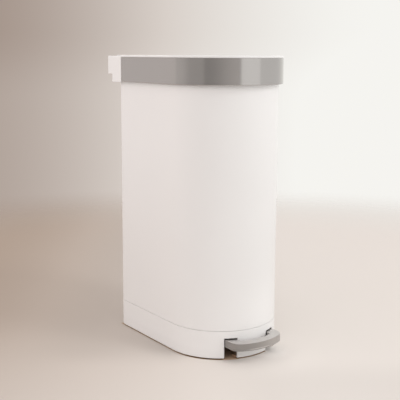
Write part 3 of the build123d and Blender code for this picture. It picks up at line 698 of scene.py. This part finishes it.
def make_feet():
    """Round pads on stubs that reach up through the base. Each pad's underside is flat with two ring
    grooves, depth g (1 - cos) / 2 across each, and its rim is rounded."""
    low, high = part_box("rubber_feet")
    reach = high.x - FOOT_RADIUS
    front = reach * math.sin(FRONT_FOOT_TURN), ROUND_Y - reach * math.cos(FRONT_FOOT_TURN)
    places = (front, (reach, ROUND_Y + MIDDLE_FOOT_BACK), (reach, high.y - FOOT_RADIUS))
    seats = [(side * x, y, high.z) for side in (-1, 1) for x, y in places]
    tall, stub = high.z - low.z, high.z - base_low.z
    sine, cosine = quarter(6)
    flat = np.linspace(FOOT_CORE, 1, 40) * (FOOT_RADIUS - FOOT_EDGE)
    share = flat / FOOT_RADIUS
    grooves = sum(np.clip(1 - abs(share - ring) / GROOVE_HALF, 0, 1) for ring in GROOVE_RINGS)
    down = tall - GROOVE_DEPTH * (1 - np.cos(math.pi * grooves)) / 2
    rim = FOOT_RADIUS - FOOT_EDGE * (1 - sine[1:])
    rim_down = tall - FOOT_EDGE * (1 - cosine[1:])
    stub_profile = [FOOT_RADIUS, FOOT_STUB_RADIUS, FOOT_STUB_RADIUS, FOOT_CORE * FOOT_RADIUS]
    profile = np.concatenate([flat, rim, stub_profile])
    rise = np.concatenate([down, rim_down, [stub, stub, 0, 0]])
    shape = (np.repeat(line[:, None], TURN_STEPS, axis=1) for line in (profile, rise))
    return turned("foot_pads", (0, 0, -1), seats, *shape)


class PEDALBIN_OT_white_shells(bpy.types.Operator):
    """Finish the tub, base, lid, hinge housing and rod channel in white plastic"""

    bl_idname = "pedal_bin.white_shells"
    bl_label = "White Shells"

    def execute(self, context):
        dress(WHITE_NODES, white_plastic(context.scene.pedal_bin_colours.white))
        return {"FINISHED"}


class PEDALBIN_OT_lid_band(bpy.types.Operator):
    """Wrap the lid in its satin metal band"""

    bl_idname = "pedal_bin.lid_band"
    bl_label = "Lid Band"

    def execute(self, context):
        band = make_band(context.scene.pedal_bin_sizes)
        colour = context.scene.pedal_bin_colours.band
        satin = satin_metal("band_metal_satin", colour, roughness=0.13, stretch=(9, 9, 2400))
        band.data.materials.append(satin)
        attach(band, "lid")
        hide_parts("lid_band")
        return {"FINISHED"}


class PEDALBIN_OT_pedal(bpy.types.Operator):
    """Make the pressed pedal with its rounded top and lower bead"""

    bl_idname = "pedal_bin.pedal"
    bl_label = "Pedal"

    def execute(self, context):
        pedal = make_pedal(context.scene.pedal_bin_sizes)
        pedal.data.materials.append(pedal_metal(context.scene.pedal_bin_colours.pedal))
        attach(pedal, "pedal")
        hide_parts("pedal_tread")
        return {"FINISHED"}


class PEDALBIN_OT_screws(bpy.types.Operator):
    """Make the pan-head screws with their cross recesses"""

    bl_idname = "pedal_bin.screws"
    bl_label = "Screws"

    def execute(self, context):
        zinc = plated_steel(context.scene.pedal_bin_colours.plated, "screw_zinc")
        corners = CORNER_SCREWS.items()
        sets = {node: (body, axis, *corner_seats(node, axis)) for node, (body, axis) in corners}
        sets["channel_screws"] = ("bin", (0, 1, 0), *channel_seats())
        for node, (body, axis, seats, length) in sets.items():
            screws = make_screws(node.replace("screws", "pan_heads"), axis, length, seats)
            screws.data.materials.append(zinc)
            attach(screws, body)
            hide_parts(node)
        return {"FINISHED"}


class PEDALBIN_OT_feet(bpy.types.Operator):
    """Make the grooved rubber pads under the base"""

    bl_idname = "pedal_bin.feet"
    bl_label = "Feet"

    def execute(self, context):
        feet = make_feet()
        colour = context.scene.pedal_bin_colours.rubber
        feet.data.materials.append(moulded("rubber_matt_feet", colour, **RUBBER))
        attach(feet, "bin")
        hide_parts("rubber_feet")
        return {"FINISHED"}


class PEDALBIN_OT_linkage(bpy.types.Operator):
    """Finish the lever, rod, damper and bearings"""

    bl_idname = "pedal_bin.linkage"
    bl_label = "Linkage"

    def execute(self, context):
        colours = context.scene.pedal_bin_colours
        dress(PLATED_NODES, plated_steel(colours.plated, "plated_steel_zinc"))
        dress(NYLON_NODES, moulded("nylon_natural", colours.nylon, **NYLON))
        dress(DARK_NODES, moulded("dark_plastic_matt", colours.dark, **DARK_PLASTIC))
        dress(("lid_bumpers",), moulded("rubber_matt", colours.rubber, **RUBBER))
        return {"FINISHED"}


def heading(angle):
    """Level direction from the bin towards the camera, turned by some degrees to the picture's right."""
    turn = math.radians(CAMERA_AZIMUTH + angle)
    return Vector((math.sin(turn), -math.cos(turn), 0))


def sine_of(angle):
    """Sine of an angle in degrees."""
    return math.sin(math.radians(angle))


def floor_tone(wire, studio, right, front):
    """Floor colour from left to right of the picture, painted darker towards the left, less so in front, as
    painted shade, and a duller one for rays that only light the bin. Steps lie at metres to the right of the
    bin's middle or in front of it."""
    # Painted shade: the floor darkens towards the left of the picture, less so in front
    left = right.fall(-0.75, 0.3) * (1 - 0.3 * front.ease(-0.2, 0.5))
    tone = (1 - left).blend((*studio.floor_left, 1.0), (*studio.floor_right, 1.0))
    return (UNSEEN_SHARE - UNSEEN_SHARE * wire.shown()).blend(tone, UNSEEN_FLOOR)


def floor_shades(spot, right, front, tone):
    """Floor colour with painted light beside the pedal that lifts its shadow, a painted soft shade left of the
    bin that is deeper close to its front, and a faint painted shade ahead at the right. Steps lie at metres,
    as in floor_tone."""
    # Painted light: a paler patch beside the pedal that lifts its shadow
    patch = (spot.part("X") - PATCH_X).hypot(spot.part("Y") - PATCH_Y).fall(*PATCH_FADE)
    tone = (0.85 * patch).blend(tone, PATCH_TONE)
    # Painted shade left of the bin and faintly ahead at the right
    close = front.ease(-0.05, 0.12) * outside_base(spot).fall(0.0, 0.08)
    at_left = front.fall(0.1, 0.22) * right.between(-0.45, -0.24, -0.09, -0.02)
    ahead = front.ease(0.14, 0.3) * right.ease(0.0, 0.14)
    return (at_left * (0.1 + 0.13 * close) + 0.07 * ahead).blend(tone, BLACK)


def base_shadow(spot, tone):
    """Floor colour with a warm shadow under the base. It is darker along the rim, darkest where the sides
    bend to the front, and left out in the right pedal slot."""
    across, depth = spot.part("X"), spot.part("Y")
    width = spot.math("ABSOLUTE", across)
    beyond = outside_base(spot)
    bend = depth.fall(*BEND_BACK) * width.ease(*BEND_SIDE)
    under = (beyond - SHADOW_SPILL * bend).fall(*SHADOW_EDGE) * (depth - base_high.y).fall(*SHADOW_EDGE)
    under = under * (1 - across.between(*RIGHT_SLOT_SIDES) * depth.fall(*RIGHT_SLOT_BACK))
    rim = beyond.ease(*SHADOW_RIM) * (1 - width.between(*SLOT_SIDES) * depth.fall(*SLOT_BACK))
    shadow = rim.blend(SHADOW_INNER, bend.blend(SHADOW_SIDE, SHADOW_BEND))
    return under.blend(tone, shadow)


def floor_material(studio):
    """Pale floor that fades out into the backdrop with distance from the bin."""
    material, wire = start_material("studio_floor")
    spot = wire.spot()
    right, front = spot.along(heading(90)), spot.along(heading(0))
    tone = floor_tone(wire, studio, right, front)
    tone = base_shadow(spot, floor_shades(spot, right, front, tone))
    paint = wire.node("ShaderNodeBsdfDiffuse", {}, {"Color": tone})
    clear = wire.node("ShaderNodeBsdfTransparent")
    fade = spot.length().ease(FLOOR_CLEAR, FLOOR_END)
    mixed = wire.node("ShaderNodeMixShader", {}, {0: fade, 1: paint, 2: clear})
    wire.node("ShaderNodeOutputMaterial", {}, {"Surface": mixed}, None)
    return material


def polar_object(name, radii, turns, lift):
    """Sheet over rings and turns: x = r sin t, y = -r cos t, z as given for each ring."""
    grid = np.empty((len(radii), len(turns), 3))
    grid[..., 0] = np.outer(radii, np.sin(turns))
    grid[..., 1] = np.outer(radii, -np.cos(turns))
    grid[..., 2] = np.asarray(lift)[:, None]
    index = np.arange(grid.size // 3).reshape(grid.shape[:2])
    corners = [index[:-1, :-1], index[1:, :-1], index[1:, 1:], index[:-1, 1:]]
    return mesh_object(name, grid, np.stack(corners, axis=-1).reshape(-1, 4).tolist())


def make_floor(studio):
    """Round floor under the bin."""
    radii = np.linspace(FLOOR_START, FLOOR_END, FLOOR_RINGS)
    turns = np.linspace(0, 2 * math.pi, FLOOR_TURNS)
    floor = polar_object("studio_floor", radii, turns, np.full(FLOOR_RINGS, -FLOOR_DROP))
    floor.data.materials.append(floor_material(studio))
    return floor


def flag_material():
    """Dim panel. From left to right it starts at its brightest, dims in two steps and brightens again."""
    material, wire = start_material("studio_dim_side")
    side = wire.spot().along(heading(90) / FLAG_RADIUS)
    far_left = side.ease(-0.99, -0.8)
    step_left = side.ease(sine_of(-32), sine_of(-26))
    step_right = side.ease(sine_of(-24), sine_of(32))
    glow = 0.6 - 0.14 * far_left - 0.1 * step_left + 0.2 * step_right
    tint = wire.node("ShaderNodeEmission", {}, {"Color": glow.blend(BLACK, FLAG_TINT)})
    wire.node("ShaderNodeOutputMaterial", {}, {"Surface": tint}, None)
    return material


def make_flag():
    """Part of an upright cylinder round the bin on the camera's side, which only reflections show."""
    start, end = (math.radians(CAMERA_AZIMUTH + angle) for angle in FLAG_ENDS)
    turns = np.linspace(start, end, FLAG_TURNS)
    flag = polar_object("studio_dim_side", [FLAG_RADIUS, FLAG_RADIUS], turns, FLAG_HEIGHTS)
    flag.data.materials.append(flag_material())
    flag.visible_camera = False
    flag.visible_diffuse = False
    flag.visible_shadow = False
    return flag


def backdrop_tone(studio, ray):
    """Colour in each direction: behind the bin a sweep from warm left to light right with a darker cove low
    down, and an even tone elsewhere. Steps lie at parts of the ray's unit direction."""
    height, right = ray.along(UP), ray.along(heading(90))
    share = right.ease(-0.3, 0.22) + 0.1 * height.fall(-0.06, 0.03)
    sweep = (2 * share).blend((*studio.backdrop_left, 1.0), (*studio.backdrop_middle, 1.0))
    sweep = (2 * share - 1).blend(sweep, (*studio.backdrop_right, 1.0))
    cove = height.between(-0.245, -0.21, -0.2, -0.165)
    sweep = (0.16 * cove).blend(sweep, COVE_TONE)
    even = right.ease(-0.9, 0.9).blend(EVEN_LEFT, EVEN_RIGHT)
    return ray.along(-heading(0)).ease(0.55, 0.93).blend(even, sweep)


def soft_light(studio, ray):
    """Level of the light from each direction: less from overhead, from low in front and from behind, and more
    from high in front and from the left."""
    height = ray.along(UP)
    front = ray.along(heading(0)).ease(0.35, 1.0) * height.fall(0.1, 0.65)
    above = ray.along(0.7 * heading(0) + 0.7 * UP).ease(0.6, 1.0)
    far_side = ray.along(heading(165)).ease(0.15, 1.0)
    near_side = ray.along(heading(-60)).ease(0.2, 1.0)
    level = studio.sky * (1 - 0.6 * height.ease(0.05, 0.95)) * (1 - 0.85 * front) * (1 + 0.5 * above)
    return level * (1 - 0.38 * far_side) * (1 + 0.14 * near_side)


def studio_world(studio):
    """Surroundings that show the backdrop's colour as it is and light the bin with the soft light's level."""
    world = bpy.data.worlds.new("studio_surroundings")
    world.use_nodes = True
    world.node_tree.nodes.clear()
    wire = Wire(world.node_tree)
    ray = wire.node("ShaderNodeTexCoord", output="Generated")
    level = soft_light(studio, ray)
    sockets = {"Color": backdrop_tone(studio, ray), "Strength": level + (1 - level) * wire.shown()}
    background = wire.node("ShaderNodeBackground", {}, sockets)
    wire.node("ShaderNodeOutputWorld", {}, {"Surface": background}, None)
    return world


def panel_lamp(name, power, size, place, aim, diffuse=True, glossy=True, spread=180):
    """Rectangular lamp that the camera doesn't see, with its beam's spread in degrees."""
    light = bpy.data.lights.new(name, "AREA")
    light.shape, light.size, light.size_y = "RECTANGLE", *size
    light.energy, light.spread = power, math.radians(spread)
    lamp = bpy.data.objects.new(name, light)
    lamp.location = place
    lamp.rotation_euler = aim.to_track_quat("-Z", "Y").to_euler()
    lamp.visible_camera = False
    lamp.visible_diffuse = diffuse
    lamp.visible_glossy = glossy
    bpy.context.scene.collection.objects.link(lamp)


def make_lamps(studio):
    """Softbox and key at the right, rim panel behind, low fill in front and a small lamp by the pedal."""
    middle = Vector((0, ROUND_Y, LAMP_LEVEL))
    by_pedal = Vector((0, ROUND_Y, PEDAL_LAMP_LEVEL))
    softbox, rim, fill, near = (heading(angle) for angle in (54, -140, 10, 48))
    key = heading(62) + UP
    panel_lamp(
        "softbox", studio.softbox, size=(1.45, 2.4), place=middle + 2.2 * softbox + 0.9 * UP,
        aim=-softbox, diffuse=False)
    panel_lamp(
        "rim", studio.rim, size=(0.7, 1.5), place=middle + 2.0 * rim + 1.3 * UP, aim=-rim, diffuse=False)
    panel_lamp(
        "fill", studio.fill, size=(0.9, 0.25), place=middle + 1.3 * fill - 0.45 * UP, aim=-fill, glossy=False)
    panel_lamp(
        "pedal_light", studio.pedal_light, size=(0.12, 0.05), place=by_pedal + 0.33 * near,
        aim=-near - 0.4 * UP, glossy=False, spread=80)
    panel_lamp("key", studio.key, size=(0.5, 0.5), place=middle + 1.55 * key, aim=-key, glossy=False)


def make_camera(studio):
    """Camera at the photograph's viewpoint."""
    lens = bpy.data.cameras.new("photo_camera")
    lens.sensor_width, lens.lens, lens.shift_y = SENSOR_WIDTH, studio.lens, CAMERA_SHIFT
    camera = bpy.data.objects.new("photo_camera", lens)
    aim = Vector(CAMERA_AIM).to_track_quat("-Z", "Y").to_matrix().to_4x4()
    camera.matrix_world = Matrix.Translation(CAMERA_PLACE) @ aim @ Matrix.Rotation(CAMERA_ROLL, 4, "Z")
    bpy.context.scene.collection.objects.link(camera)
    return camera


class PEDALBIN_OT_stage(bpy.types.Operator):
    """Set up the floor, surroundings, lights and camera"""

    bl_idname = "pedal_bin.stage"
    bl_label = "Stage"

    def execute(self, context):
        scene, studio = context.scene, context.scene.pedal_bin_studio
        scene.world = studio_world(studio)
        floor = make_floor(studio)
        flag = make_flag()
        make_lamps(studio)
        scene.camera = make_camera(studio)
        scene.view_settings.view_transform = "Standard"
        return {"FINISHED"}


OPERATORS = (
    PEDALBIN_OT_white_shells, PEDALBIN_OT_lid_band, PEDALBIN_OT_pedal, PEDALBIN_OT_screws, PEDALBIN_OT_feet,
    PEDALBIN_OT_linkage, PEDALBIN_OT_stage,
)
GROUPS = {
    "pedal_bin_colours": PedalBinColours,
    "pedal_bin_sizes": PedalBinSizes,
    "pedal_bin_studio": PedalBinStudio,
}


class PEDALBIN_PT_panel(bpy.types.Panel):
    """Lists the pieces, colours and sizes of the pedal bin"""

    bl_idname = "PEDALBIN_PT_panel"
    bl_label = "Pedal Bin"
    bl_space_type = "VIEW_3D"
    bl_region_type = "UI"
    bl_category = "Pedal Bin"

    def draw(self, context):
        for operator in OPERATORS:
            self.layout.operator(operator.bl_idname)
        for name, group in GROUPS.items():
            box = self.layout.box()
            for field in group.__annotations__:
                box.prop(getattr(context.scene, name), field)


CLASSES = (*GROUPS.values(), *OPERATORS, PEDALBIN_PT_panel)


def register():
    for item in CLASSES:
        bpy.utils.register_class(item)
    for name, group in GROUPS.items():
        setattr(bpy.types.Scene, name, PointerProperty(type=group))


def unregister():
    for name in GROUPS:
        delattr(bpy.types.Scene, name)
    for item in reversed(CLASSES):
        bpy.utils.unregister_class(item)


def main():
    register()
    for name in ("white_shells", "lid_band", "pedal", "screws", "feet", "linkage", "stage"):
        getattr(bpy.ops.pedal_bin, name)()


if __name__ == "__main__":
    main()
